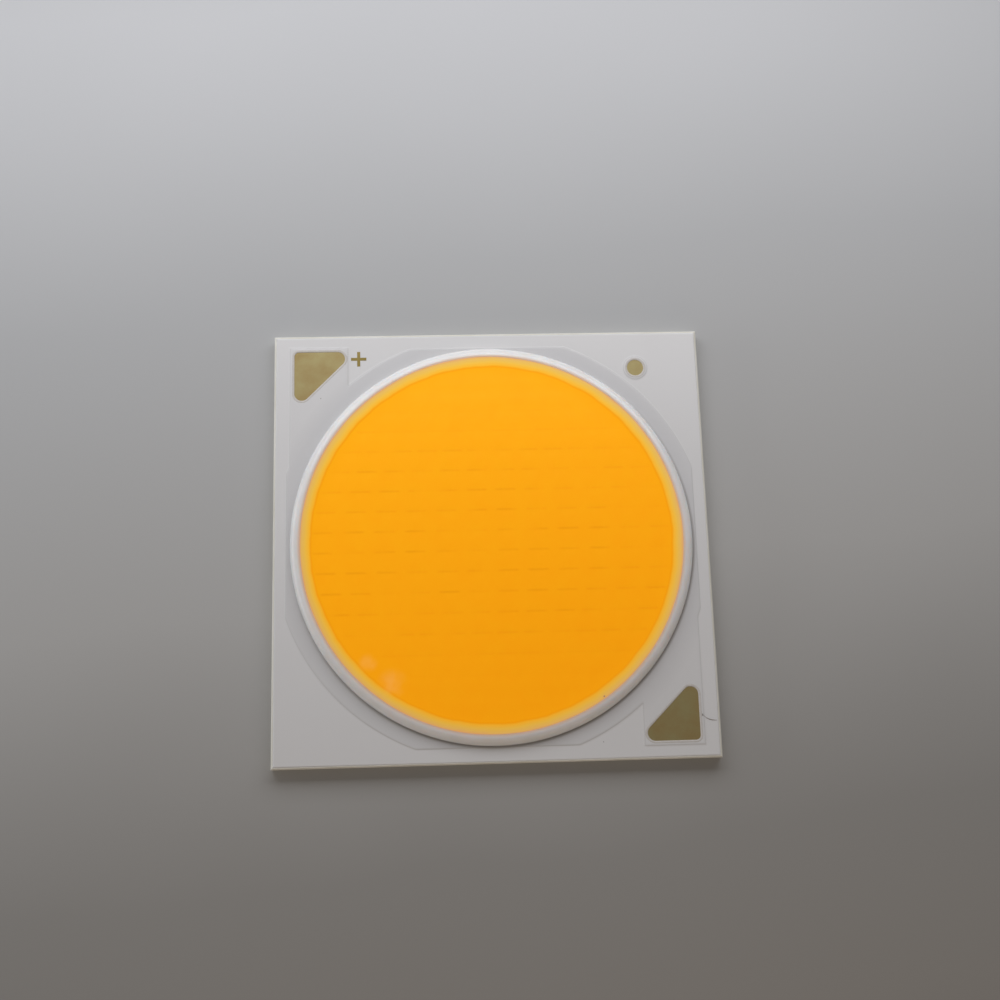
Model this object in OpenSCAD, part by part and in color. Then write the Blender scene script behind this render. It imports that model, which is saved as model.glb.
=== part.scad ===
// Chip-on-board LED array: a square alumina board with two printed conductors, rows of
// wire-bonded LED chips, a silicone dam ring and a phosphor casting that fills it.
// Origin: centre of the board's underside. +Z is the side that gives light, and the
// anode land lies towards -X and +Y.

/* [Board] */
// Side of the square alumina board
board_w = 34.85; // [34.5:0.05:38]
// Thickness of the alumina
board_t = 1.0; // [0.6:0.05:1.6]
// Chamfer left on the top edges by the laser cut
edge_chamfer = 0.1; // [0.02:0.01:0.2]

/* [Dam] */
// Distance from the board's edge in to the bead's centre line
dam_inset = 2.075; // [1.975:0.025:2.4]
// Width of the bead where it meets the board
dam_w = 1.5; // [1.2:0.05:1.6]
// Height of the bead above the board
dam_h = 0.7; // [0.55:0.05:0.8]

/* [Conductors] */
// Thickness of the printed and plated metal
metal_t = 0.04; // [0.02:0.005:0.08]
// Reach of the two bus arcs out from the bead's centre line
bus_reach_out = 1.9; // [1.3:0.05:2.0]
// Reach of the two bus arcs in from the bead's centre line
bus_reach_in = 1.3; // [1.0:0.05:1.5]
// Distance from the board's upper and lower edges to the bus flats
bus_inset_y = 1.375; // [1.0:0.025:1.5]
// Distance from the board's left and right edges to the bus flats
bus_inset_x = 1.175; // [1.0:0.025:1.5]
// Gap between the anode and the cathode metal
pole_gap = 0.6; // [0.3:0.05:1.2]
// Distance from the board's left or right edge to the corner of metal round a land
corner_inset_x = 1.425; // [1.2:0.025:1.6]
// Distance from the board's upper or lower edge to that corner of metal
corner_inset_y = 1.175; // [1.0:0.025:1.4]

/* [Solder lands] */
// Legs of the right-angled solder land, measured to its sharp corners
land_leg = 4.95; // [4.0:0.05:5.0]
// Rounding of its right-angled corner
land_corner_r = 0.35; // [0.1:0.05:0.5]
// Rounding of its two pointed corners
land_tip_r = 0.6; // [0.3:0.05:0.7]
// Cover of the mask over the edge of the metal round a land
land_cover = 0.22; // [0.1:0.01:0.3]
// Cover of the mask over that metal beyond the land's two pointed corners
tip_cover = 0.13; // [0.08:0.01:0.3]

/* [Marks] */
// Radius of the temperature spot seen in the mask
spot_r = 0.66; // [0.4:0.02:0.9]
// Cover of the mask over the edge of the spot's metal
spot_cover = 0.19; // [0.08:0.01:0.25]
// Clearance from the spot's metal to the bus arc
spot_gap = 0.7; // [0.3:0.05:0.9]
// Direction from the board's centre to the spot, in degrees from +X
spot_turn = 49.5; // [43:0.5:50]
// Length of each bar of the plus sign
plus_l = 1.25; // [0.8:0.05:1.4]
// Width of each bar of the plus sign
plus_w = 0.25; // [0.15:0.01:0.4]
// Clearance from the plus sign to the anode's corner of metal
plus_gap = 0.375; // [0.2:0.025:0.6]
// Distance from the board's upper edge to the centre of the plus sign
plus_inset = 2.025; // [1.7:0.025:2.1]

/* [Solder mask] */
// Thickness of the white mask
mask_t = 0.03; // [0.015:0.005:0.06]
// Bare border between the chamfer and the mask
mask_inset = 0.06; // [0.02:0.01:0.3]
// Cover of the mask beyond the outer edge of the metal
mask_cover = 0.05; // [0.02:0.01:0.1]
// Distance from the bead's centre line in to the mask's round opening
mask_tuck = 0.15; // [0:0.05:0.3]

/* [Phosphor casting] */
// Height of the casting above the board in the middle
fill_h = 0.6; // [0.5:0.01:0.64]
// Distance from the bead's centre line in to the rim of the casting
fill_lap = 0.1; // [0.02:0.01:0.3]
// Width of the curved rim where the casting climbs the bead
fill_rim_w = 1.7; // [0.8:0.1:3]

/* [LED chips] */
// Number of series strings, one row each
strings = 16; // [8:2:16]
// Number of chips in each string
string_chips = 12; // [4:1:12]
// Distance from the circle that holds the chips in to the middle of the end rows
end_row_inset = 1.55; // [1.35:0.05:2]
// Length of a chip along its row
chip_l = 0.76; // [0.5:0.01:0.8]
// Width of a chip
chip_w = 0.5; // [0.3:0.01:0.6]
// Thickness of a chip
chip_t = 0.15; // [0.1:0.01:0.2]
// Thickness of the glue under a chip
glue_t = 0.02; // [0.01:0.005:0.03]
// How far the glue stands out round a chip
glue_margin = 0.04; // [0.02:0.01:0.07]
// Clearance from the outermost chip's corner to the bus arc
chip_clear = 0.2; // [0.15:0.05:0.3]

/* [Bond wires] */
// Thickness of the gold wire, both ways
wire_d = 0.03; // [0.02:0.005:0.04]
// Distance from a chip's end to the bond on it
bond_inset = 0.11; // [0.08:0.01:0.2]
// Distance from the inner edge of the bus arc to the bond on it
bus_bond_inset = 0.22; // [0.1:0.01:0.3]
// Rise of a wire above the line between its two bonds
loop_h = 0.16; // [0.1:0.01:0.17]

/* [Hidden] */
// Facets of the round parts, and what cutters and joined outlines overlap by.
ring_fn = 180;
rim_fn = 1440;
bead_fn = 96;
small_fn = 36;
over = 1;
sink = 0.01;
shy = 0.002;
half_w = board_w / 2;
flat_w = half_w - edge_chamfer;
dam_r = half_w - dam_inset;
bead_r = (dam_w ^ 2 / 4 + dam_h ^ 2) / (2 * dam_h);
bead_z = board_t + dam_h - bead_r;
bus_outer_r = dam_r + bus_reach_out;
bus_inner_r = dam_r - bus_reach_in;
bus_flat_x = half_w - bus_inset_x;
bus_flat_y = half_w - bus_inset_y;
land_tip = land_leg - land_tip_r / tan(22.5);
corner_w = land_cover + land_tip + land_tip_r + tip_cover;
spot_metal_r = spot_r + spot_cover;
spot_at = (bus_outer_r + spot_gap + spot_metal_r) * [cos(spot_turn), sin(spot_turn)];
plus_at = [-half_w + corner_inset_x + corner_w + plus_gap + plus_l / 2, half_w - plus_inset];
chip_top = board_t + glue_t + chip_t;
bus_top = board_t + metal_t;
chip_limit_r = bus_inner_r - chip_clear;
row_pitch = 2 * (chip_limit_r - end_row_inset) / (strings - 1);

function two_digits(i) = str(i < 10 ? "0" : "", i);
function led_name(i) = str("led_row_", two_digits(i));
function wire_name(i) = str("wire_row_", two_digits(i));

// Rows are numbered from the upper edge down. A row's chips share out the width that the
// bus arcs leave at that height.
function row_y(i) = ((strings + 1) / 2 - i) * row_pitch;
function row_half(i) = sqrt(chip_limit_r ^ 2 - (abs(row_y(i)) + chip_w / 2) ^ 2);
function chip_pitch(i) = (2 * row_half(i) - chip_l) / (string_chips - 1);
function chip_x(i, c) = -row_half(i) + chip_l / 2 + (c - 1) * chip_pitch(i);
function bus_bond_x(i) = sqrt((bus_inner_r + bus_bond_inset) ^ 2 - row_y(i) ^ 2);

// A slab of metal or mask standing on the board.
module layer(from, to) {
    translate([0, 0, from]) linear_extrude(to - from) children();
}

// Right-angled triangle with round corners, its right angle at the origin and its legs
// along +X and -Y. Its slanting side stays a hair inside the round tips, so that it cuts
// them cleanly.
module land_outline() {
    slant = land_tip_r * sqrt(0.5) - shy;
    translate([land_corner_r, -land_corner_r]) circle(r = land_corner_r, $fn = small_fn);
    translate([land_tip, -land_tip_r]) circle(r = land_tip_r, $fn = small_fn);
    translate([land_tip_r, -land_tip]) circle(r = land_tip_r, $fn = small_fn);
    polygon([
        [0, -land_corner_r],
        [land_corner_r, 0],
        [land_tip, 0],
        [land_tip + slant, -land_tip_r - slant],
        [land_tip_r + slant, -land_tip - slant],
        [0, -land_tip]
    ]);
}

// The opening in the mask over the anode's solder land.
module land_opening() {
    land_x = -half_w + corner_inset_x + land_cover;
    land_y = half_w - corner_inset_y - land_cover;
    translate([land_x, land_y]) land_outline();
}

// Both halves of the bus before they are parted: a disc with four flats.
module bus_disc(grow) {
    intersection() {
        circle(r = bus_outer_r + grow, $fn = ring_fn);
        square([2 * (bus_flat_x + grow), 2 * (bus_flat_y + grow)], center = true);
    }
}

// The square corner of metal round the anode's land, down to the row of the centre.
module corner_block(grow) {
    block_x = -half_w + corner_inset_x - grow;
    block_top = half_w - corner_inset_y + grow;
    translate([block_x, 0]) square([corner_w + 2 * grow, block_top]);
}

// Left half of the metal, with the solder land in its upper corner.
module anode_outline() {
    difference() {
        union() {
            bus_disc(0);
            corner_block(0);
        }
        circle(r = bus_inner_r, $fn = ring_fn);
        translate([-pole_gap / 2, -board_w]) square([board_w, 2 * board_w]);
    }
}

// Outline of everything that the mask steps over, with the cover on its edges.
module raised_outline() {
    bus_disc(mask_cover);
    corner_block(mask_cover);
    rotate(180) corner_block(mask_cover);
    translate(spot_at) circle(r = spot_metal_r + mask_cover, $fn = small_fn);
}

module plus_outline() {
    translate(plus_at) {
        square([plus_l, plus_w], center = true);
        square([plus_w, plus_l], center = true);
    }
}

module ceramic_substrate() {
    color("#e9e6dc") difference() {
        layer(0, board_t) square(board_w, center = true);
        for (a = [0 : 90 : 270]) {
            rotate([0, 0, a]) translate([half_w, 0, board_t]) rotate([0, 45, 0])
                cube([edge_chamfer * sqrt(2), board_w + over, edge_chamfer * sqrt(2)], center = true);
        }
    }
}

module anode_trace() {
    color("#a8935a") layer(board_t, bus_top) anode_outline();
}

module cathode_trace() {
    color("#a8935a") layer(board_t, bus_top) rotate(180) anode_outline();
}

module temperature_pad() {
    color("#a8935a") layer(board_t, bus_top)
        translate(spot_at) circle(r = spot_metal_r, $fn = small_fn);
}

module polarity_mark() {
    color("#b09a55") layer(board_t, bus_top) plus_outline();
}

// White mask: one thin coat over the bare board, lifted by the metal where it crosses it.
module solder_mask() {
    color("#f2f2f4") difference() {
        union() {
            layer(board_t, board_t + mask_t) square(2 * (flat_w - mask_inset), center = true);
            layer(board_t, bus_top + mask_t) raised_outline();
        }
        anode_trace();
        cathode_trace();
        temperature_pad();
        layer(board_t - over, bus_top + over) {
            circle(r = dam_r - mask_tuck, $fn = ring_fn);
            land_opening();
            rotate(180) land_opening();
            translate(spot_at) circle(r = spot_r, $fn = small_fn);
            plus_outline();
        }
    }
}

// Section of the silicone bead: a circle through its two feet and its crest.
module dam_section() {
    intersection() {
        translate([dam_r, bead_z]) circle(r = bead_r, $fn = bead_fn);
        translate([dam_r - dam_w, board_t]) square([2 * dam_w, dam_h + over]);
    }
}

module dam_ring() {
    color("#f4f3f0") difference() {
        rotate_extrude($fn = ring_fn) dam_section();
        anode_trace();
        cathode_trace();
        solder_mask();
    }
}

// One block for each chip of a row, between two heights and standing out by a margin.
module chip_blocks(i, from, to, margin) {
    for (c = [1 : string_chips]) {
        translate([chip_x(i, c) - chip_l / 2 - margin, row_y(i) - chip_w / 2 - margin, from])
            cube([chip_l + 2 * margin, chip_w + 2 * margin, to - from]);
    }
}

module led_row(i) {
    color("#8fb7d8") chip_blocks(i, board_t + glue_t, chip_top, 0);
}

module die_attach() {
    color("#d8dde0") for (i = [1 : strings]) {
        chip_blocks(i, board_t, board_t + glue_t, glue_margin);
    }
}

// One bond wire seen from the side, as x and height: a round arc, cut off level where it
// is pressed on its two landings. They are at x1 and x2, on faces at heights z1 and z2, and
// the cut lies at a depth below them.
module wire_outline(x1, z1, x2, z2, depth) {
    span = norm([x2 - x1, z2 - z1]);
    tilt = atan2(z2 - z1, x2 - x1);
    arc_r = (span ^ 2 / 4 + loop_h ^ 2) / (2 * loop_h);
    mid = [x1 + x2, z1 + z2] / 2;
    centre = mid + (arc_r - loop_h) * [sin(tilt), -cos(tilt)];
    reach = 2 * arc_r + span;
    difference() {
        translate(centre) circle(r = arc_r + wire_d / 2, $fn = ring_fn);
        translate(centre) circle(r = arc_r - wire_d / 2, $fn = ring_fn);
        translate([mid.x - reach, z1 - depth - reach]) square([reach + wire_d, reach]);
        translate([mid.x - wire_d, z2 - depth - reach]) square([reach + wire_d, reach]);
    }
}

// The wires of a row, cut off at a depth below their landings.
module wires(i, depth) {
    first = chip_x(i, 1) - chip_l / 2 + bond_inset;
    last = chip_x(i, string_chips) + chip_l / 2 - bond_inset;
    translate([0, row_y(i) + wire_d / 2, 0]) rotate([90, 0, 0]) linear_extrude(wire_d) {
        wire_outline(-bus_bond_x(i), bus_top, first, chip_top, depth);
        wire_outline(last, chip_top, bus_bond_x(i), bus_top, depth);
        for (c = [1 : string_chips - 1]) {
            from_x = chip_x(i, c) + chip_l / 2 - bond_inset;
            to_x = chip_x(i, c + 1) - chip_l / 2 + bond_inset;
            wire_outline(from_x, chip_top, to_x, chip_top, depth);
        }
    }
}

module wire_row(i) {
    color("#d9b44a") wires(i, 0);
}

// Section of the casting: level in the middle, with a round rim that climbs the bead.
module fill_section() {
    rim_r = dam_r - fill_lap;
    rim_z = bead_z + sqrt(bead_r ^ 2 - fill_lap ^ 2);
    fill_z = board_t + fill_h;
    rise = rim_z - fill_z;
    rim_arc_r = (fill_rim_w ^ 2 + rise ^ 2) / (2 * rise);
    difference() {
        translate([0, board_t]) square([rim_r, rim_z - board_t]);
        translate([0, fill_z]) square([rim_r - fill_rim_w, dam_h]);
        translate([rim_r - fill_rim_w, fill_z + rim_arc_r]) circle(r = rim_arc_r, $fn = rim_fn);
        translate([dam_r, bead_z]) circle(r = bead_r, $fn = bead_fn);
    }
}

// The casting, with a hollow that fits each chip, its glue and each wire. The cutters run
// on into the board, the metal or the chip below them.
module phosphor_fill() {
    color("#f7a01a") difference() {
        rotate_extrude($fn = ring_fn) fill_section();
        layer(board_t - over, bus_top) {
            anode_outline();
            rotate(180) anode_outline();
        }
        for (i = [1 : strings]) {
            chip_blocks(i, board_t - over, chip_top, 0);
            chip_blocks(i, board_t - over, board_t + glue_t, glue_margin);
            wires(i, sink);
        }
    }
}

ceramic_substrate();
anode_trace();
cathode_trace();
temperature_pad();
polarity_mark();
solder_mask();
dam_ring();
die_attach();
phosphor_fill();
for (i = [1 : strings]) {
    led_row(i);
    wire_row(i);
}
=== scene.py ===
import math
import bpy
import numpy as np
from mathutils import Matrix, Vector


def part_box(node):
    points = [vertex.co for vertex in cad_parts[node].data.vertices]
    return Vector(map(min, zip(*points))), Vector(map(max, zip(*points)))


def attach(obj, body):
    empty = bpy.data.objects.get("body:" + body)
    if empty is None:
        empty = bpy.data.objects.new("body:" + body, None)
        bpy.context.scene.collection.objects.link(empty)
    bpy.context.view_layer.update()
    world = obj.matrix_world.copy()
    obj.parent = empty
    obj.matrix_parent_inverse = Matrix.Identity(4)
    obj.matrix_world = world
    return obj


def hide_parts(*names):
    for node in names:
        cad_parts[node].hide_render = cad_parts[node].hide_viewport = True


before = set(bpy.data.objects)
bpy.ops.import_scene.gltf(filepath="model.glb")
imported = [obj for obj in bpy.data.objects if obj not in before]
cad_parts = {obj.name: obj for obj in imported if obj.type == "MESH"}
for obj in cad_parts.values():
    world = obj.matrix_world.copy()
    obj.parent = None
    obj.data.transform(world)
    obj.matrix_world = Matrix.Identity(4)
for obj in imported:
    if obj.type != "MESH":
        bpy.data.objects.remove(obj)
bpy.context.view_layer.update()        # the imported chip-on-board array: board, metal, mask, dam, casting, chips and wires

mm = 0.001
scene = bpy.context.scene
scene.view_settings.view_transform = "Standard"

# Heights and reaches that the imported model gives
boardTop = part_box("anode_trace")[0].z
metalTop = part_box("anode_trace")[1].z
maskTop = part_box("solder_mask")[1].z
maskBase = boardTop + maskTop - metalTop
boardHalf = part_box("ceramic_substrate")[1].x
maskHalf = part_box("solder_mask")[1].x
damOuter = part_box("dam_ring")[1].x
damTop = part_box("dam_ring")[1].z
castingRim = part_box("phosphor_fill")[1].x
print("frame loaded: board", round(2 * boardHalf / mm, 2), "mm, height", round(damTop / mm, 2), "mm")


def linearColour(hexCode):
    # '#rrggbb' in sRGB to linear red, green, blue and alpha
    channels = [int(hexCode[i:i + 2], 16) / 255 for i in (1, 3, 5)]
    return [c / 12.92 if c <= 0.04045 else ((c + 0.055) / 1.055) ** 2.4 for c in channels] + [1.0]


def addNode(tree, kind, inputs=None, stops=None, **settings):
    # one node with its own settings; an input is a value, a hex colour or another node's output
    node = tree.nodes.new("ShaderNode" + kind)
    for name, value in settings.items():
        setattr(node, name, value)
    for key, value in (inputs or {}).items():
        if isinstance(value, bpy.types.NodeSocket):
            tree.links.new(value, node.inputs[key])
        else:
            node.inputs[key].default_value = linearColour(value) if isinstance(value, str) else value
    if stops:
        ramp = node.color_ramp.elements
        ramp.remove(ramp[-1])
        ramp[0].position = stops[0][0]
        ramp[0].color = linearColour(stops[0][1])
        for position, hexCode in stops[1:]:
            ramp.new(position).color = linearColour(hexCode)
    return node


def newMaterial(name):
    # material with an empty node tree
    material = bpy.data.materials.new(name)
    material.use_nodes = True
    material.node_tree.nodes.clear()
    return material, material.node_tree


def perMetre(sizeMm):
    # pattern scale for a feature of that size
    return 1 / (sizeMm * mm)


def smoothStep(value, start, end):
    # 0 before start, 1 after end, with a soft S between them
    t = np.clip((value - start) / (end - start), 0, 1)
    return t * t * (3 - 2 * t)


def ringFaces(rows, columns, firstIndex=0, closed=False):
    # quads of a grid whose columns run round the middle; closed also joins the last row to the first
    row = np.arange(rows if closed else rows - 1)[:, None]
    column = np.arange(columns)[None, :]
    rowNext = (row + 1) % rows
    columnNext = (column + 1) % columns
    corners = [row * columns + column, rowNext * columns + column,
               rowNext * columns + columnNext, row * columns + columnNext]
    return firstIndex + np.stack(corners, axis=-1).reshape(-1, 4)


def newPiece(name, points, faces, material):
    # one smooth mesh from a grid of points, with its finish, hung under the root body
    mesh = bpy.data.meshes.new(name)
    mesh.from_pydata(np.asarray(points).reshape(-1, 3).tolist(), [], faces)
    mesh.polygons.foreach_set("use_smooth", np.ones(len(mesh.polygons), dtype=bool))
    mesh.materials.append(material)
    mesh.update()
    piece = bpy.data.objects.new(name, mesh)
    scene.collection.objects.link(piece)
    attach(piece, "root")
    return piece


# Camera: a close-up from above, a little in front of the board's middle
camera = {                # mm, but for the two directions
    "place": (-3.54, -18.45, 100.22),
    "look": (0.0419, 0.2143, -0.9759),
    "up": (0.0203, 0.9764, 0.2152),
    "lens": 45.49,
    "sensor": 36,
    "nearest": 5,
}
cameraData = bpy.data.cameras.new("camera")
cameraData.lens = camera["lens"]
cameraData.sensor_width = camera["sensor"]
cameraData.clip_start = camera["nearest"] * mm
cameraObject = bpy.data.objects.new("camera", cameraData)
scene.collection.objects.link(cameraObject)
back = -Vector(camera["look"]).normalized()
right = Vector(camera["up"]).cross(back).normalized()
upward = back.cross(right)
cameraObject.matrix_world = (Matrix.Translation(Vector(camera["place"]) * mm)
                             @ Matrix((right, upward, back)).transposed().to_4x4())
scene.camera = cameraObject
print("camera placed")

# Light: a wide soft lamp past the upper edge, low ones in front and on the left, and a dim room
light = {                 # places and sizes in mm
    "key": {"place": (0, 58, 50), "size": (150, 46), "watts": 0.054, "tint": "#fafbff"},
    "front": {"place": (8, -95, 34), "size": (110, 30), "watts": 0.013, "tint": "#ffe6cc"},
    "left": {"place": (-110, 6, 17), "size": (90, 22), "watts": 0.026, "tint": "#f6faff"},
    "roomColour": "#cfcac5",
    "roomStrength": 0.26,
}


def addLamp(name, place, size, watts, tint):
    # rectangular area lamp aimed at the middle of the board
    data = bpy.data.lights.new(name, "AREA")
    data.shape = "RECTANGLE"
    data.size, data.size_y = size[0] * mm, size[1] * mm
    data.energy = watts
    data.color = linearColour(tint)[:3]
    lamp = bpy.data.objects.new(name, data)
    lamp.location = Vector(place) * mm
    lamp.rotation_euler = (-Vector(place)).to_track_quat("-Z", "Y").to_euler()
    lamp.visible_camera = False
    scene.collection.objects.link(lamp)


for lampName in ("key", "front", "left"):
    addLamp(lampName + "_lamp", **light[lampName])
world = bpy.data.worlds.new("room")
world.use_nodes = True
world.node_tree.nodes.clear()
room = addNode(world.node_tree, "Background", {"Color": light["roomColour"],
                                               "Strength": light["roomStrength"]})
addNode(world.node_tree, "OutputWorld", {"Surface": room.outputs[0]})
scene.world = world

# Floor: a wide sheet of matte grey card
floor = {
    "half": 400,             # mm
    "drop": 0.01,            # mm that it lies under the board
    "fadeFrom": -60,         # mm along y
    "fadeTo": 60,
    "tilt": -0.12,           # share of x in the fade
    "tones": [(0.0, "#918e8a"), (0.18, "#a19e9a"), (0.3, "#a3a19e"), (0.47, "#bcbbb9"),
              (0.7, "#bcbdbe"), (0.92, "#cccdcf")],
    "cloud": 40,             # mm
    "tooth": 0.5,            # mm
}


def floorMaterial():
    # Matte grey card: painted shade, darker towards the front and the right, over a slow random tone; a fine
    # tooth, no gloss
    material, tree = newMaterial("matte_grey_card")
    place = addNode(tree, "TexCoord")
    axes = addNode(tree, "SeparateXYZ", {0: place.outputs["Object"]})
    across = addNode(tree, "Math", {0: axes.outputs[0], 1: floor["tilt"], 2: axes.outputs[1]},
                     operation="MULTIPLY_ADD")
    # painted shade: the card darkens towards the front and the right
    fade = addNode(tree, "MapRange", {"Value": across.outputs[0], "From Min": floor["fadeFrom"] * mm,
                                      "From Max": floor["fadeTo"] * mm})
    cloud = addNode(tree, "TexNoise", {"Vector": place.outputs["Object"], "Scale": perMetre(floor["cloud"])})
    drift = addNode(tree, "Math", {0: cloud.outputs[0], 1: 0.1, 2: -0.05}, operation="MULTIPLY_ADD")
    tone = addNode(tree, "Math", {0: fade.outputs[0], 1: drift.outputs[0]}, operation="ADD", use_clamp=True)
    colour = addNode(tree, "ValToRGB", {"Fac": tone.outputs[0]}, stops=floor["tones"])
    tooth = addNode(tree, "TexNoise", {"Vector": place.outputs["Object"], "Scale": perMetre(floor["tooth"]),
                                       "Detail": 3})
    bump = addNode(tree, "Bump", {"Height": tooth.outputs[0], "Strength": 0.06, "Distance": 0.05 * mm})
    surface = addNode(tree, "BsdfPrincipled", {"Base Color": colour.outputs[0], "Roughness": 0.9,
                                               "Specular IOR Level": 0.2, "Normal": bump.outputs[0]})
    addNode(tree, "OutputMaterial", {"Surface": surface.outputs[0]})
    return material


floorCorners = np.array([(-1, -1), (1, -1), (1, 1), (-1, 1)]) * floor["half"] * mm
floorPoints = np.column_stack([floorCorners, np.full(4, -floor["drop"] * mm)])
floorMesh = bpy.data.meshes.new("floor")
floorMesh.from_pydata(floorPoints.tolist(), [], [(0, 1, 2, 3)])
floorMesh.materials.append(floorMaterial())
floorObject = bpy.data.objects.new("floor", floorMesh)
scene.collection.objects.link(floorObject)
print("light and floor placed")

# Board: fired alumina, cut apart along rows of laser pits and snapped
board = {
    "cream": "#edebe2",
    "shade": "#e3e0d3",
    "grain": 0.12,           # mm, drawn a little coarser than the real crystals so that it shows
    "pitSpacing": 0.16,      # mm between laser pits
    "pitDepth": 0.45,        # share of the edge's height that the pits reach down
    "pitFade": 0.06,         # mm over which they start
    "stainSize": 2.5,        # mm
}


def aluminaMaterial():
    # Fired alumina: warm white and chalky, with laser pits down the upper part of its edges
    material, tree = newMaterial("fired_alumina")
    place = addNode(tree, "TexCoord")
    axes = addNode(tree, "SeparateXYZ", {0: place.outputs["Object"]})
    shape = addNode(tree, "NewGeometry")
    facing = addNode(tree, "SeparateXYZ", {0: shape.outputs["Normal"]})
    level = addNode(tree, "Math", {0: facing.outputs[2]}, operation="ABSOLUTE")
    onEdge = addNode(tree, "MapRange", {"Value": level.outputs[0], "From Min": 0.3, "From Max": 0.1})
    pitFoot = boardTop * (1 - board["pitDepth"])
    inPits = addNode(tree, "MapRange", {"Value": axes.outputs[2], "From Min": pitFoot,
                                        "From Max": pitFoot + board["pitFade"] * mm})
    along = addNode(tree, "Math", {0: axes.outputs[0], 1: axes.outputs[1]}, operation="ADD")
    turns = addNode(tree, "Math", {0: along.outputs[0], 1: 2 * math.pi * perMetre(board["pitSpacing"])},
                    operation="MULTIPLY")
    wave = addNode(tree, "Math", {0: turns.outputs[0]}, operation="SINE")
    pits = addNode(tree, "Math", {0: wave.outputs[0], 1: inPits.outputs[0]}, operation="MULTIPLY")
    pitsOnEdge = addNode(tree, "Math", {0: pits.outputs[0], 1: onEdge.outputs[0]}, operation="MULTIPLY")
    grain = addNode(tree, "TexNoise", {"Vector": place.outputs["Object"], "Scale": perMetre(board["grain"]),
                                       "Detail": 4})
    height = addNode(tree, "Math", {0: pitsOnEdge.outputs[0], 1: 1.2, 2: grain.outputs[0]},
                     operation="MULTIPLY_ADD")
    bump = addNode(tree, "Bump", {"Height": height.outputs[0], "Strength": 0.6, "Distance": 0.025 * mm})
    cloud = addNode(tree, "TexNoise", {"Vector": place.outputs["Object"],
                                       "Scale": perMetre(board["stainSize"]), "Detail": 3})
    stain = addNode(tree, "MapRange", {"Value": cloud.outputs[0], "From Min": 0.35, "From Max": 0.7})
    colour = addNode(tree, "Mix", {0: stain.outputs[0], 6: board["cream"], 7: board["shade"]},
                     data_type="RGBA")
    surface = addNode(tree, "BsdfPrincipled", {"Base Color": colour.outputs[2], "Roughness": 0.6,
                                               "Normal": bump.outputs[0]})
    addNode(tree, "OutputMaterial", {"Surface": surface.outputs[0]})
    return material


# Metal: printed conductor with thin gold plating, bare only at the lands, the spot and the plus sign
metal = {
    "lands": ("#b1a476", "#ad996a"),      # bright and dull
    "mark": ("#a18f56", "#93824b"),
    "grain": 0.09,           # mm
    "patch": 1.6,            # mm
}


def goldMaterial(name, bright, dull):
    # Gold over a sintered print: a dull khaki gold, since the print below is rough
    material, tree = newMaterial(name)
    place = addNode(tree, "TexCoord")
    cloud = addNode(tree, "TexNoise", {"Vector": place.outputs["Object"], "Scale": perMetre(metal["patch"]),
                                       "Detail": 4, "Roughness": 0.6})
    wear = addNode(tree, "MapRange", {"Value": cloud.outputs[0], "From Min": 0.35, "From Max": 0.65})
    colour = addNode(tree, "Mix", {0: wear.outputs[0], 6: bright, 7: dull}, data_type="RGBA")
    rough = addNode(tree, "MapRange", {"Value": cloud.outputs[0], "From Min": 0.3, "From Max": 0.7,
                                       "To Min": 0.56, "To Max": 0.64})
    grain = addNode(tree, "TexNoise", {"Vector": place.outputs["Object"], "Scale": perMetre(metal["grain"]),
                                       "Detail": 3})
    bump = addNode(tree, "Bump", {"Height": grain.outputs[0], "Strength": 0.3, "Distance": 0.01 * mm})
    surface = addNode(tree, "BsdfPrincipled", {"Base Color": colour.outputs[2], "Metallic": 0.85,
                                               "Roughness": rough.outputs[0], "Normal": bump.outputs[0]})
    addNode(tree, "OutputMaterial", {"Surface": surface.outputs[0]})
    return material


# Mask: a thin white overglaze that lies soft over the metal
mask = {
    "white": "#e6e5e5",
    "overMetal": "#d5d4d5",
    "grimeAndShade": "#8f8984",
    "footShadeLine": 0.26,        # mm of painted shadow at the dam's foot
    "specks": [(-13.64, 12.08, 0.07), (8.19, -16.0, 0.07), (16.0, -14.14, 0.16)],    # x, y, radius in mm
    "busReach": 1.9,         # mm from the dam's centre line out to the bus arc's edge
    "cornerInset": 1.425,    # mm from the board's left edge to the corner of metal
    "cornerWidth": 4.45,     # mm
    "cover": 0.05,           # mm of mask past the metal's edge
    "ramp": 0.16,            # mm over which it comes down to the board
    "edgeRound": 0.07,       # mm of its outer border that is round
    "edgeDrop": 0.96,        # how far that round comes down, as a share of the square of the height
    "sinkFrom": 0.04,        # mm outside an opening's edge
    "sinkTo": 0.16,
    "sinkDepth": 0.01,       # mm under the bare metal
    "start": 0.2,            # mm outside the dam's centre line
    "crowding": 0.35,        # how much closer the rays lie at the corners
    "rows": 84,
    "columns": 1008,
}
damWidth = 1.5 * mm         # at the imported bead's foot
damRadius = damOuter - damWidth / 2
busRadius = damRadius + mask["busReach"] * mm
busHalfX = -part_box("anode_trace")[0].x
busHalfY = -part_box("anode_trace")[0].y
cornerLeft = -boardHalf + mask["cornerInset"] * mm
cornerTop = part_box("anode_trace")[1].y
spotLow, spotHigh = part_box("temperature_pad")
spotCentre = (np.array(spotLow) + np.array(spotHigh))[:2] / 2
spotMetalRadius = (spotHigh.x - spotLow.x) / 2

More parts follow.
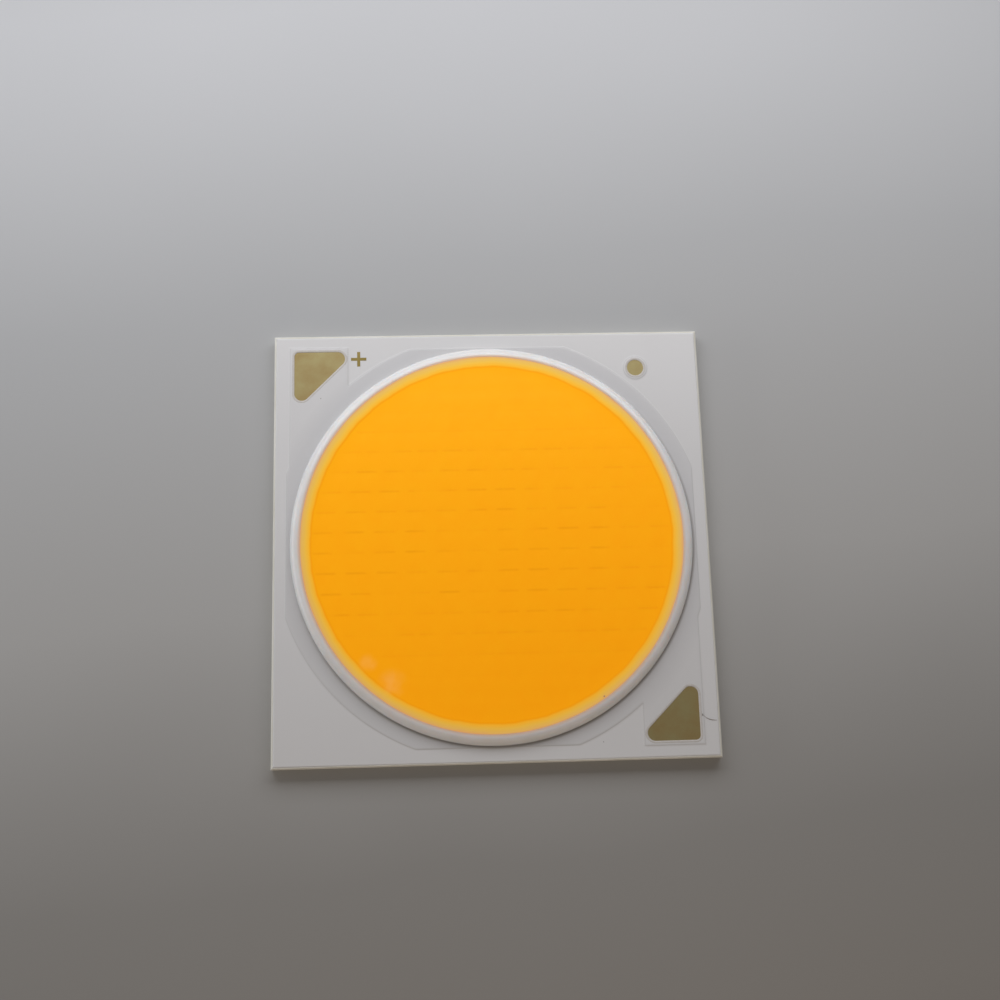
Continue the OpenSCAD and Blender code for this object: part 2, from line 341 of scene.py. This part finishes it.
# Openings over bare metal: two right-angled triangles with round corners, and the round spot
land = {"cover": 0.22, "leg": 4.95, "cornerRadius": 0.35, "tipRadius": 0.6}      # mm
spot = {"cover": 0.19, "points": 48}                                           # mm
landX = cornerLeft + land["cover"] * mm
landY = cornerTop - land["cover"] * mm
cornerR = land["cornerRadius"] * mm
tipR = land["tipRadius"] * mm
tipAt = land["leg"] * mm - tipR / math.tan(math.radians(45 / 2))
landCorners = [           # centre's x and y, radius, first direction and turn in degrees
    (landX + tipAt, landY - tipR, tipR, -45, 135),
    (landX + cornerR, landY - cornerR, cornerR, 90, 90),
    (landX + tipR, landY - tipAt, tipR, 180, 135),
]


def boxDistance(x, y, left, right, low, high):
    # signed distance, by the farthest side, to a rectangle: below 0 inside it
    across = np.maximum(left - x, x - right)
    along = np.maximum(low - y, y - high)
    return np.maximum(across, along)


def raisedDistance(x, y):
    # signed distance to everything that the mask steps over: the disc with flats, two corners and the spot
    disc = np.hypot(x, y) - busRadius
    bus = np.maximum(disc, boxDistance(x, y, -busHalfX, busHalfX, -busHalfY, busHalfY))
    cornerRight = cornerLeft + mask["cornerWidth"] * mm
    anode = boxDistance(x, y, cornerLeft, cornerRight, 0, cornerTop)
    cathode = boxDistance(-x, -y, cornerLeft, cornerRight, 0, cornerTop)
    pad = np.hypot(x - spotCentre[0], y - spotCentre[1]) - spotMetalRadius
    return np.minimum(np.minimum(bus, pad), np.minimum(anode, cathode))


def landDistance(x, y):
    # signed distance to the anode's land: the farthest of its three sides, or the round corner it faces
    slant = (x - landX + landY - y - land["leg"] * mm) / math.sqrt(2)
    distance = np.maximum(np.maximum(landX - x, y - landY), slant)
    for cornerX, cornerY, radius, start, turn in landCorners:
        facing = (np.degrees(np.arctan2(y - cornerY, x - cornerX)) - start) % 360
        distance = np.where(facing < turn, np.hypot(x - cornerX, y - cornerY) - radius, distance)
    return distance


def openingDistance(x, y):
    # signed distance to the nearest opening over bare metal
    pad = np.hypot(x - spotCentre[0], y - spotCentre[1]) - (spotMetalRadius - spot["cover"] * mm)
    return np.minimum(np.minimum(landDistance(x, y), landDistance(-x, -y)), pad)


def maskHeight(x, y):
    # the thin coat, lifted by the metal with a soft ramp, sunk where bare metal shows, round at its border
    lifted = 1 - smoothStep(raisedDistance(x, y), mask["cover"] * mm, (mask["cover"] + mask["ramp"]) * mm)
    height = maskBase + (maskTop - maskBase) * lifted
    sunk = 1 - smoothStep(openingDistance(x, y), mask["sinkFrom"] * mm, mask["sinkTo"] * mm)
    height = height + (metalTop - mask["sinkDepth"] * mm - height) * sunk
    toBorder = maskHalf - np.maximum(np.abs(x), np.abs(y))
    inRound = np.clip(1 - toBorder / (mask["edgeRound"] * mm), 0, 1)
    return boardTop + (height - boardTop) * np.sqrt(1 - mask["edgeDrop"] * inRound ** 2)


def nearness(tree, flat, x, y, radius):
    # 1 at a place on the board and 0 past the radius, all in mm
    gap = addNode(tree, "VectorMath", {0: flat.outputs[0], 1: (x * mm, y * mm, 0)}, operation="DISTANCE")
    return addNode(tree, "MapRange", {"Value": gap.outputs["Value"], "From Min": 0.0,
                                      "From Max": radius * mm, "To Min": 1.0, "To Max": 0.0},
                   interpolation_type="SMOOTHSTEP")


def glazeMaterial():
    # Screen-printed overglaze: a satin white, greyer where the metal lies under it and more so near the dam,
    # with a few specks, painted shade along the ramps over the metal's edges, and a thin painted shadow at
    # the dam's foot, heaviest at the lower right
    material, tree = newMaterial("white_overglaze")
    place = addNode(tree, "TexCoord")
    axes = addNode(tree, "SeparateXYZ", {0: place.outputs["Object"]})
    lift = addNode(tree, "MapRange", {"Value": axes.outputs[2], "From Min": maskBase + 0.004 * mm,
                                      "From Max": maskTop - 0.004 * mm})
    flat = addNode(tree, "VectorMath", {0: place.outputs["Object"], 1: (1, 1, 0)}, operation="MULTIPLY")
    radius = addNode(tree, "VectorMath", {0: flat.outputs[0]}, operation="LENGTH")
    nearDam = addNode(tree, "MapRange", {"Value": radius.outputs["Value"], "From Min": damOuter,
                                         "From Max": busRadius + 0.9 * mm, "To Min": 1.0, "To Max": 0.25})
    tint = addNode(tree, "Math", {0: lift.outputs[0], 1: nearDam.outputs[0]}, operation="MULTIPLY")
    cloud = addNode(tree, "TexNoise", {"Vector": place.outputs["Object"], "Scale": perMetre(4), "Detail": 3})
    drift = addNode(tree, "Math", {0: cloud.outputs[0], 1: 0.24, 2: -0.12}, operation="MULTIPLY_ADD")
    tone = addNode(tree, "Math", {0: tint.outputs[0], 1: drift.outputs[0]}, operation="ADD", use_clamp=True)
    colour = addNode(tree, "Mix", {0: tone.outputs[0], 6: mask["white"], 7: mask["overMetal"]},
                     data_type="RGBA")
    # painted shadow: a thin dark ring at the dam's outer foot, heaviest towards the lower right
    footShadeLine = addNode(tree, "MapRange", {"Value": radius.outputs["Value"], "From Min": damOuter + 0.02 * mm,
                                          "From Max": damOuter + mask["footShadeLine"] * mm,
                                          "To Min": 1.0, "To Max": 0.0}, interpolation_type="SMOOTHSTEP")
    toLowerRight = addNode(tree, "VectorMath", {0: flat.outputs[0], 1: (0.5, -0.87, 0)},
                           operation="DOT_PRODUCT")
    share = addNode(tree, "MapRange", {"Value": toLowerRight.outputs["Value"], "From Min": -4 * mm,
                                       "From Max": 10 * mm, "To Max": 0.8})
    grimeAndShade = addNode(tree, "Math", {0: footShadeLine.outputs[0], 1: share.outputs[0]}, operation="MULTIPLY")
    # painted shade along the middle of each ramp where the mask steps over the metal
    fold = addNode(tree, "Math", {0: lift.outputs[0], 1: 0.5}, operation="PINGPONG")
    grimeAndShade = addNode(tree, "Math", {0: fold.outputs[0], 1: 0.45, 2: grimeAndShade.outputs[0]},
                    operation="MULTIPLY_ADD")
    for x, y, reach in mask["specks"]:
        speck = nearness(tree, flat, x, y, reach)
        grimeAndShade = addNode(tree, "Math", {0: grimeAndShade.outputs[0], 1: speck.outputs[0]}, operation="MAXIMUM")
    soiled = addNode(tree, "Mix", {0: grimeAndShade.outputs[0], 6: colour.outputs[2], 7: mask["grimeAndShade"]},
                     data_type="RGBA")
    grain = addNode(tree, "TexNoise", {"Vector": place.outputs["Object"], "Scale": perMetre(0.25),
                                       "Detail": 4})
    rough = addNode(tree, "MapRange", {"Value": grain.outputs[0], "From Min": 0.3, "From Max": 0.7,
                                       "To Min": 0.42, "To Max": 0.56})
    bump = addNode(tree, "Bump", {"Height": grain.outputs[0], "Strength": 0.12, "Distance": 0.01 * mm})
    surface = addNode(tree, "BsdfPrincipled", {"Base Color": soiled.outputs[2], "Roughness": rough.outputs[0],
                                               "Specular IOR Level": 0.4, "Normal": bump.outputs[0]})
    addNode(tree, "OutputMaterial", {"Surface": surface.outputs[0]})
    return material


def makeMaskSheet(material):
    # rays from a circle under the dam out to the square border: a point lies at
    # inner + share (border - inner) on its ray, as high as maskHeight; a flat underside closes them
    rows, columns = mask["rows"], mask["columns"]
    inner = damRadius + mask["start"] * mm
    t = (np.arange(columns) % (columns // 4)) / (columns // 4) * 2 - 1
    side = t * (1 + mask["crowding"] - mask["crowding"] * t ** 2)
    turn = np.arctan(side) + np.repeat(np.arange(4), columns // 4) * math.pi / 2
    borderReach = maskHalf * np.hypot(1, side)
    share = np.linspace(0, 1, rows)[:, None]
    reach = inner + (borderReach[None, :] - inner) * share
    x = reach * np.cos(turn)
    y = reach * np.sin(turn)
    top = np.stack([x, y, maskHeight(x, y)], axis=-1)
    under = np.stack([x[[-1, 0]], y[[-1, 0]], np.full((2, columns), boardTop)], axis=-1)
    points = np.concatenate([top, under])
    faces = ringFaces(rows + 2, columns, closed=True)
    return newPiece("mask_sheet", points, faces.tolist(), material)


def roundCornerPath(corners, perCorner=20):
    # outline through round corners, each point a centre + radius (cos, sin) of its direction;
    # returns the points and their outward directions
    sweep = np.linspace(0, 1, perCorner)
    points, outward = [], []
    for cx, cy, radius, start, turn in corners:
        angle = np.radians(start + turn * sweep)
        direction = np.column_stack([np.cos(angle), np.sin(angle)])
        points.append(np.array([cx, cy]) + radius * direction)
        outward.append(direction)
    return np.concatenate(points), np.concatenate(outward)


# Lips: the thick round edge of the mask at its openings
lip = {
    "dark": "#cac5bf",
    "light": "#dcd8d4",
    "offsets": [0.05, 0.0, 0.014, 0.04, 0.075, 0.12, 0.17, 0.22, 0.2],              # mm outward
    "rises": [-0.012, -0.012, 0.012, 0.026, 0.034, 0.036, 0.034, 0.026, -0.012],     # mm over the metal
}


def makeLip(name, path, outward, material):
    # a low rounded section carried round an opening: outline + offset times its outward direction,
    # as high as the metal + rise
    offset = np.array(lip["offsets"]) * mm
    rise = np.array(lip["rises"]) * mm
    flat = path[None, :, :] + offset[:, None, None] * outward[None, :, :]
    height = np.repeat((metalTop + rise)[:, None], len(path), axis=1)
    points = np.concatenate([flat, height[:, :, None]], axis=-1)
    faces = ringFaces(len(offset), len(path), closed=True)
    return newPiece(name, points, faces.tolist(), material)


# Hairline: a hair fired into the glaze beside the cathode's land
hairline = {
    "dark": "#8f8780",
    "light": "#beb9b4",
    "radius": 0.03,          # mm, as are the next five values
    "start": 16.05,
    "end": 17.15,
    "y": -14.6,
    "climb": 0.5,
    "fall": 0.35,
    "taper": 0.35,           # radians of a half sine left off at each end
    "lift": 0.3,             # share of the radius
    "rings": 40,
    "sides": 8,
}


def makeHairline(material):
    # a thin closed tube along y + climb exp((start - x) / fall), thickest in the middle as a sine
    x = np.linspace(hairline["start"], hairline["end"], hairline["rings"])
    y = hairline["y"] + hairline["climb"] * np.exp((hairline["start"] - x) / hairline["fall"])
    z = maskHeight(x * mm, y * mm)
    run = np.stack([np.gradient(x), np.gradient(y)], axis=-1)
    aside = run[:, ::-1] * (-1, 1) / np.linalg.norm(run, axis=1)[:, None]
    angle = np.linspace(0, 2 * math.pi, hairline["sides"], endpoint=False)
    sweep = np.linspace(hairline["taper"], math.pi - hairline["taper"], len(x))
    radius = hairline["radius"] * mm * np.sin(sweep)[:, None]
    flat = np.stack([x, y], axis=-1)[:, None] * mm + aside[:, None] * (radius * np.cos(angle))[..., None]
    height = z[:, None] + radius * (np.sin(angle) + hairline["lift"])
    points = np.concatenate([flat, height[..., None]], axis=-1)
    faces = ringFaces(len(x), len(angle))[:, ::-1].tolist()
    around = np.arange(len(angle))
    firstEnd, lastEnd = around[::-1].tolist(), (around + (len(x) - 1) * len(angle)).tolist()
    return newPiece("glaze_hairline", points, faces + [firstEnd, lastEnd], material)


def dullGlaze(name, dark, pale):
    # Glaze that is duller and warmer, and uneven along its length: dirt on the hairline, a greyer ring round
    # each opening
    material, tree = newMaterial(name)
    place = addNode(tree, "TexCoord")
    cloud = addNode(tree, "TexNoise", {"Vector": place.outputs["Object"], "Scale": perMetre(0.2)})
    colour = addNode(tree, "Mix", {0: cloud.outputs[0], 6: dark, 7: pale}, data_type="RGBA")
    surface = addNode(tree, "BsdfPrincipled", {"Base Color": colour.outputs[2], "Roughness": 0.6})
    addNode(tree, "OutputMaterial", {"Surface": surface.outputs[0]})
    return material


glaze = glazeMaterial()
maskSheet = makeMaskSheet(glaze)
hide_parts("solder_mask")
makeHairline(dullGlaze("soiled_glaze", hairline["dark"], hairline["light"]))
landPath, landOutward = roundCornerPath(landCorners)
# the lips are greyer than the open mask, which draws a darker ring round each opening
lipGlaze = dullGlaze("thick_glaze_edge", lip["dark"], lip["light"])
makeLip("anode_lip", landPath, landOutward, lipGlaze)
makeLip("cathode_lip", -landPath, -landOutward, lipGlaze)
spotOpening = spotMetalRadius - spot["cover"] * mm
spotTurn = 360 * (spot["points"] - 1) / spot["points"]
spotPath, spotOutward = roundCornerPath([(*spotCentre, spotOpening, 0, spotTurn)], spot["points"])
makeLip("spot_lip", spotPath, spotOutward, lipGlaze)
print("mask made")

# Dam: one bead of white silicone, laid by a needle and not quite even
dam = {
    "white": "#f8f6f4",
    "shade": "#f2efec",
    "stain": "#f3dcc4",
    "waver": 0.016,          # mm
    "waves": [(3, 0.8, 1.0), (7, 2.1, 0.6), (17, 0.0, 0.35)],      # waves a turn, start and share
    "columns": 720,
    "section": 48,
}


def damMaterial():
    # Cured white silicone: a warm white with a soft gloss, stained yellow where the casting wets it
    material, tree = newMaterial("white_silicone_bead")
    place = addNode(tree, "TexCoord")
    cloud = addNode(tree, "TexNoise", {"Vector": place.outputs["Object"], "Scale": perMetre(2), "Detail": 3})
    tone = addNode(tree, "MapRange", {"Value": cloud.outputs[0], "From Min": 0.35, "From Max": 0.65})
    colour = addNode(tree, "Mix", {0: tone.outputs[0], 6: dam["white"], 7: dam["shade"]}, data_type="RGBA")
    flat = addNode(tree, "VectorMath", {0: place.outputs["Object"], 1: (1, 1, 0)}, operation="MULTIPLY")
    radius = addNode(tree, "VectorMath", {0: flat.outputs[0]}, operation="LENGTH")
    wetted = addNode(tree, "MapRange", {"Value": radius.outputs["Value"], "From Min": castingRim - 0.02 * mm,
                                        "From Max": castingRim + 0.26 * mm, "To Min": 1.0, "To Max": 0.0},
                     interpolation_type="SMOOTHSTEP")
    stained = addNode(tree, "Mix", {0: wetted.outputs[0], 6: colour.outputs[2], 7: dam["stain"]},
                      data_type="RGBA")
    rough = addNode(tree, "MapRange", {"Value": cloud.outputs[0], "From Min": 0.3, "From Max": 0.7,
                                       "To Min": 0.18, "To Max": 0.26})
    ripple = addNode(tree, "TexNoise", {"Vector": place.outputs["Object"], "Scale": perMetre(0.6)})
    bump = addNode(tree, "Bump", {"Height": ripple.outputs[0], "Strength": 0.12, "Distance": 0.03 * mm})
    surface = addNode(tree, "BsdfPrincipled", {"Base Color": stained.outputs[2],
                                               "Roughness": rough.outputs[0], "IOR": 1.41,
                                               "Specular IOR Level": 0.7, "Normal": bump.outputs[0],
                                               "Subsurface Weight": 0.7,
                                               "Subsurface Scale": 0.6 * mm,
                                               "Subsurface Radius": (1.0, 0.85, 0.75)})
    addNode(tree, "OutputMaterial", {"Surface": surface.outputs[0]})
    return material


def makeDam(material):
    # a round section through both feet and the crest, carried round the ring: centre line + waver +
    # section radius cos(angle), as high as section centre + section radius sin(angle) or the board
    height = damTop - boardTop
    sectionRadius = ((damWidth / 2) ** 2 + height ** 2) / (2 * height)
    sectionZ = damTop - sectionRadius
    turn = np.linspace(0, 2 * math.pi, dam["columns"], endpoint=False)[None, :]
    angle = np.linspace(math.pi, -math.pi, dam["section"], endpoint=False)[:, None]
    waves = sum(share * np.sin(count * turn + start) for count, start, share in dam["waves"])
    waver = dam["waver"] * mm * waves / 2
    reach = damRadius + waver + sectionRadius * np.cos(angle)
    z = np.maximum(sectionZ + sectionRadius * np.sin(angle), boardTop) + 0 * turn
    points = np.stack([reach * np.cos(turn), reach * np.sin(turn), z], axis=-1)
    faces = ringFaces(dam["section"], dam["columns"], closed=True)
    return newPiece("dam_bead", points, faces.tolist(), material)


damBead = makeDam(damMaterial())
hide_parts("dam_ring")
print("dam made")

# Casting: phosphor-filled silicone, level in the middle and drawn up on the bead
casting = {
    "middle": 0.6,           # mm above the board
    "rimWidth": 1.7,         # mm
    "rimDrop": 0.008,        # mm under the bead's crest
    "footLift": 0.05,        # mm over the metal
    "swell": 0.003,          # mm that it heaves
    "swellRuns": (2.3, 2.9, 4.1),      # mm
    "dimple": 0.008,         # mm that it shrinks over each chip
    "lastRing": 0.004,       # mm inside the rim
    "rings": 150,
    "columns": 480,
    "band": [(0.0, "#ffb812"), (0.32, "#ffb812"), (0.4, "#f0a40c"), (0.5, "#ffc93a"),
             (0.68, "#ffda5c"), (0.86, "#ffda76"), (1.0, "#f4c68a")],      # orange out to pale yellow
    "bandFrom": 1.35,        # mm inside the rim
    "bandTo": 0.12,          # mm outside it
    "wander": 0.24,          # mm
    "glow": "#ff9a06",
    "deep": "#ff9e08",
    "rowShadeTint": "#dc8e08",
    "haze": "#ffc678",
    "hazes": [(-9.9, -9.5, 0.9), (-8.0, -11.2, 1.5)],      # x, y and radius in mm
    "fleck": (8.33, -12.55, 0.13),
}

# Rows of chips: they dimple the casting, and faint dashes of painted shade lie over them
row = {
    "count": 16,
    "chips": 12,
    "chipLength": 0.76,      # mm, as are all that follow
    "soft": 0.14,
    "dimpleEnd": 0.035,      # past the chip's end
    "dashEnd": 0.42,         # the same, where the wires add to the shade
    "fadeFrom": 5,           # from the middle, since the outer rows show less
    "fadeTo": 12.5,
    "lineFrom": 0.03,        # half the width of a dash, and where it ends
    "lineTo": 0.13,
}
rowNames = [f"led_row_{number:02d}" for number in range(1, row["count"] + 1)]
rowFirst, rowLast = [sum(corner.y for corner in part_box(name)) / 2 for name in (rowNames[0], rowNames[-1])]
rowPitch = abs(rowLast - rowFirst) / (row["count"] - 1)


def chipCover(x, y, beyond):
    # 1 over each chip and so far beyond its ends, 0 between chips: one less a soft step of the distance
    # past the chip's end, times one less a softer step of the distance past its side
    cover = np.zeros_like(x)
    soft = row["soft"] * mm
    chipLength = row["chipLength"] * mm
    for name in rowNames:
        low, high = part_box(name)
        rowY = (low.y + high.y) / 2
        pitch = (high.x - low.x - chipLength) / (row["chips"] - 1)
        nearest = np.clip(np.round((x - low.x - chipLength / 2) / pitch), 0, row["chips"] - 1)
        alongRow = np.abs(x - low.x - chipLength / 2 - nearest * pitch) - chipLength / 2 - beyond
        acrossRow = np.abs(y - rowY) - (high.y - low.y) / 2
        over = (1 - smoothStep(alongRow, -soft, soft)) * (1 - smoothStep(acrossRow, -soft, 3 * soft))
        cover = np.maximum(cover, over)
    return cover


def phosphorMaterial():
    # Phosphor in silicone: a saturated orange that gives back a little light of its own as a painted glow,
    # pale yellow where it thins out on the bead, redder towards the lower right as painted shade, and faint
    # browner dashes of painted shade over the chips and wires
    material, tree = newMaterial("phosphor_silicone")
    place = addNode(tree, "TexCoord")
    flat = addNode(tree, "VectorMath", {0: place.outputs["Object"], 1: (1, 1, 0)}, operation="MULTIPLY")
    radius = addNode(tree, "VectorMath", {0: flat.outputs[0]}, operation="LENGTH")
    wobble = addNode(tree, "TexNoise", {"Vector": place.outputs["Object"], "Scale": perMetre(1.8),
                                        "Detail": 2})
    shift = addNode(tree, "Math", {0: wobble.outputs[0], 1: casting["wander"] * mm,
                                   2: radius.outputs["Value"]}, operation="MULTIPLY_ADD")
    across = addNode(tree, "MapRange", {"Value": shift.outputs[0],
                                        "From Min": castingRim - casting["bandFrom"] * mm,
                                        "From Max": castingRim + casting["bandTo"] * mm})
    band = addNode(tree, "ValToRGB", {"Fac": across.outputs[0]}, stops=casting["band"])
    mottle = addNode(tree, "TexNoise", {"Vector": place.outputs["Object"], "Scale": perMetre(1.6),
                                        "Detail": 5, "Roughness": 0.6})
    mottled = addNode(tree, "MapRange", {"Value": mottle.outputs[0], "From Min": 0.3, "From Max": 0.7,
                                         "To Min": 0.0, "To Max": 0.2})
    # painted shade: the phosphor turns redder and darker towards the lower right, added to a random mottle
    toUpperLeft = addNode(tree, "VectorMath", {0: flat.outputs[0], 1: (-0.35, 0.94, 0)},
                          operation="DOT_PRODUCT")
    shadeToLowerRight = addNode(tree, "MapRange", {"Value": toUpperLeft.outputs["Value"], "From Min": -14 * mm,
                                      "From Max": 14 * mm, "To Min": 0.42, "To Max": 0.0})
    level = addNode(tree, "MapRange", {"Value": across.outputs[0], "From Min": 0.3, "From Max": 0.5,
                                       "To Min": 1.0, "To Max": 0.15})
    mottleAndShade = addNode(tree, "Math", {0: mottled.outputs[0], 1: shadeToLowerRight.outputs[0]}, operation="ADD")
    redness = addNode(tree, "Math", {0: mottleAndShade.outputs[0], 1: level.outputs[0]}, operation="MULTIPLY")
    warm = addNode(tree, "Mix", {0: redness.outputs[0], 6: band.outputs[0], 7: casting["deep"]},
                   data_type="RGBA")
    axes = addNode(tree, "SeparateXYZ", {0: place.outputs["Object"]})
    # painted shade: thin browner dashes along the middle of each row, over the chips and the wires beside
    # them
    fromFirst = addNode(tree, "Math", {0: axes.outputs[1], 1: rowFirst}, operation="SUBTRACT")
    toRow = addNode(tree, "Math", {0: fromFirst.outputs[0], 1: rowPitch / 2}, operation="PINGPONG")
    thin = addNode(tree, "MapRange", {"Value": toRow.outputs[0], "From Min": row["lineFrom"] * mm,
                                      "From Max": row["lineTo"] * mm, "To Min": 1.0, "To Max": 0.0})
    uneven = addNode(tree, "TexNoise", {"Vector": place.outputs["Object"], "Scale": perMetre(2.6)})
    force = addNode(tree, "MapRange", {"Value": uneven.outputs[0], "From Min": 0.38, "From Max": 0.62,
                                       "To Min": 0.05, "To Max": 0.24})
    chips = addNode(tree, "Attribute", attribute_name="chipShadeDashes")
    dash = addNode(tree, "Math", {0: chips.outputs["Fac"], 1: thin.outputs[0]}, operation="MULTIPLY")
    faint = addNode(tree, "Math", {0: dash.outputs[0], 1: force.outputs[0]}, operation="MULTIPLY")
    colour = addNode(tree, "Mix", {0: faint.outputs[0], 6: warm.outputs[2], 7: casting["rowShadeTint"]},
                     data_type="RGBA")
    patchy = addNode(tree, "MapRange", {"Value": wobble.outputs[0], "From Min": 0.4, "From Max": 0.6,
                                        "To Min": 0.05, "To Max": 0.5})
    for x, y, reach in casting["hazes"]:
        near = nearness(tree, flat, x, y, reach)
        part = addNode(tree, "Math", {0: near.outputs[0], 1: patchy.outputs[0]}, operation="MULTIPLY")
        colour = addNode(tree, "Mix", {0: part.outputs[0], 6: colour.outputs[2], 7: casting["haze"]},
                         data_type="RGBA")
    fleck = nearness(tree, flat, *casting["fleck"])
    colour = addNode(tree, "Mix", {0: fleck.outputs[0], 6: colour.outputs[2], 7: mask["grimeAndShade"]},
                     data_type="RGBA")
    # the emission is a painted glow, weaker on the bead and under the dashes of painted shade
    inner = addNode(tree, "MapRange", {"Value": across.outputs[0], "From Min": 0.4, "From Max": 0.8,
                                       "To Min": 0.36, "To Max": 0.17})
    glow = addNode(tree, "Math", {0: faint.outputs[0], 1: -0.2, 2: inner.outputs[0]},
                   operation="MULTIPLY_ADD")
    grain = addNode(tree, "TexNoise", {"Vector": place.outputs["Object"], "Scale": perMetre(0.3),
                                       "Detail": 4})
    bump = addNode(tree, "Bump", {"Height": grain.outputs[0], "Strength": 0.1, "Distance": 0.02 * mm})
    surface = addNode(tree, "BsdfPrincipled", {"Base Color": colour.outputs[2], "Roughness": 0.38,
                                               "IOR": 1.41, "Specular IOR Level": 0.16,
                                               "Emission Color": casting["glow"],
                                               "Emission Strength": glow.outputs[0],
                                               "Normal": bump.outputs[0]})
    addNode(tree, "OutputMaterial", {"Surface": surface.outputs[0]})
    return material


def makeCasting(material):
    # a disc as high as middle + (rim - middle) climb squared + (swell - dimple) (1 - climb), where climb
    # goes from 0 to 1 over the rim's width; a short wall and a flat foot close it
    rings, columns = casting["rings"], casting["columns"]
    turn = np.linspace(0, 2 * math.pi, columns, endpoint=False)[None, :]
    radius = np.linspace(0, castingRim - casting["lastRing"] * mm, rings)[1:, None]
    radius = np.append(radius, [[castingRim]], axis=0)
    x, y = radius * np.cos(turn), radius * np.sin(turn)
    middleZ = boardTop + casting["middle"] * mm
    rimZ = damTop - casting["rimDrop"] * mm
    climb = np.clip((radius - castingRim) / (casting["rimWidth"] * mm) + 1, 0, 1)
    runX, runY, runAcross = [run * mm for run in casting["swellRuns"]]
    swell = casting["swell"] * mm * (np.sin(x / runX) * np.cos(y / runY) + np.sin((x + y) / runAcross))
    cover = chipCover(x, y, row["dimpleEnd"] * mm)
    # painted shade in dashes over each chip and the wires beside it, fainter in the outer rows
    faded = 1 - smoothStep(np.abs(y), row["fadeFrom"] * mm, row["fadeTo"] * mm)
    dashes = chipCover(x, y, row["dashEnd"] * mm) * faded
    z = middleZ + (rimZ - middleZ) * climb ** 2 + (swell - casting["dimple"] * mm * cover) * (1 - climb)
    top = np.stack([x, y, z], axis=-1)
    footZ = metalTop + casting["footLift"] * mm
    footRadius = np.array([castingRim, castingRim / 2])[:, None]
    foot = np.stack([footRadius * np.cos(turn), footRadius * np.sin(turn), footZ + 0 * footRadius * turn],
                    axis=-1)
    grid = np.concatenate([top, foot]).reshape(-1, 3)
    points = np.concatenate([[(0, 0, middleZ)], grid, [(0, 0, footZ)]])
    column = np.arange(columns)
    columnNext = (column + 1) % columns
    lastRow = 1 + (rings + 1) * columns
    topFan = np.column_stack([0 * column, 1 + column, 1 + columnNext])
    footFan = np.column_stack([0 * column + len(points) - 1, lastRow + columnNext, lastRow + column])
    faces = ringFaces(rings + 2, columns, firstIndex=1).tolist() + topFan.tolist() + footFan.tolist()
    piece = newPiece("phosphor_casting", points, faces, material)
    shade = np.zeros(len(points), dtype=np.float32)
    shade[1:1 + rings * columns] = dashes.reshape(-1)
    piece.data.attributes.new("chipShadeDashes", "FLOAT", "POINT").data.foreach_set("value", shade)
    return piece


phosphorCasting = makeCasting(phosphorMaterial())
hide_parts("phosphor_fill")
print("casting made")

# Chips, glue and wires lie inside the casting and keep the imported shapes
inside = {"sapphire": "#9fc0dc", "electrode": "#c8b268", "glue": "#dfe4e6", "wire": "#d8b04a"}


def sapphireMaterial():
    # Sapphire chip: pale blue and clear, with a fine mesh of gold electrode fingers on top
    material, tree = newMaterial("sapphire_chip")
    place = addNode(tree, "TexCoord")
    fingers = addNode(tree, "TexWave", {"Vector": place.outputs["Object"],
                                        "Scale": perMetre(0.16) / (2 * math.pi),
                                        "Distortion": 0}, bands_direction="Y")
    line = addNode(tree, "MapRange", {"Value": fingers.outputs["Fac"], "From Min": 0.85, "From Max": 0.95})
    colour = addNode(tree, "Mix", {0: line.outputs[0], 6: inside["sapphire"], 7: inside["electrode"]},
                     data_type="RGBA")
    surface = addNode(tree, "BsdfPrincipled", {"Base Color": colour.outputs[2], "Roughness": 0.12,
                                               "IOR": 1.77})
    addNode(tree, "OutputMaterial", {"Surface": surface.outputs[0]})
    return material


def glueMaterial():
    # Die-attach silicone: clear, a little cloudy, and soft at its edges
    material, tree = newMaterial("clear_die_glue")
    place = addNode(tree, "TexCoord")
    cloud = addNode(tree, "TexNoise", {"Vector": place.outputs["Object"], "Scale": perMetre(0.2)})
    rough = addNode(tree, "MapRange", {"Value": cloud.outputs[0], "To Min": 0.15, "To Max": 0.35})
    bump = addNode(tree, "Bump", {"Height": cloud.outputs[0], "Strength": 0.2, "Distance": 0.005 * mm})
    surface = addNode(tree, "BsdfPrincipled", {"Base Color": inside["glue"], "Roughness": rough.outputs[0],
                                               "IOR": 1.41, "Normal": bump.outputs[0]})
    addNode(tree, "OutputMaterial", {"Surface": surface.outputs[0]})
    return material


def wireMaterial():
    # Drawn gold wire: bright, with fine die lines along it
    material, tree = newMaterial("drawn_gold_wire")
    place = addNode(tree, "TexCoord")
    stretch = addNode(tree, "Mapping", {"Vector": place.outputs["Object"], "Scale": (0.1, 1, 1)})
    lines = addNode(tree, "TexNoise", {"Vector": stretch.outputs[0], "Scale": perMetre(0.006)})
    rough = addNode(tree, "MapRange", {"Value": lines.outputs[0], "To Min": 0.18, "To Max": 0.34})
    surface = addNode(tree, "BsdfPrincipled", {"Base Color": inside["wire"], "Metallic": 1.0,
                                               "Roughness": rough.outputs[0]})
    addNode(tree, "OutputMaterial", {"Surface": surface.outputs[0]})
    return material


gold = goldMaterial("matte_gold_plate", *metal["lands"])
sapphire = sapphireMaterial()
wireGold = wireMaterial()
finishes = {
    "ceramic_substrate": aluminaMaterial(),
    "anode_trace": gold,
    "cathode_trace": gold,
    "temperature_pad": gold,
    "polarity_mark": goldMaterial("dark_gold_plate", *metal["mark"]),
    "die_attach": glueMaterial(),
}
finishes.update({name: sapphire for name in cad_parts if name.startswith("led_row")})
finishes.update({name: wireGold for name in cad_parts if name.startswith("wire_row")})
for name, material in finishes.items():
    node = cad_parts[name]
    node.data.materials.clear()
    node.data.materials.append(material)
print("packed nodes finished:", len(finishes))
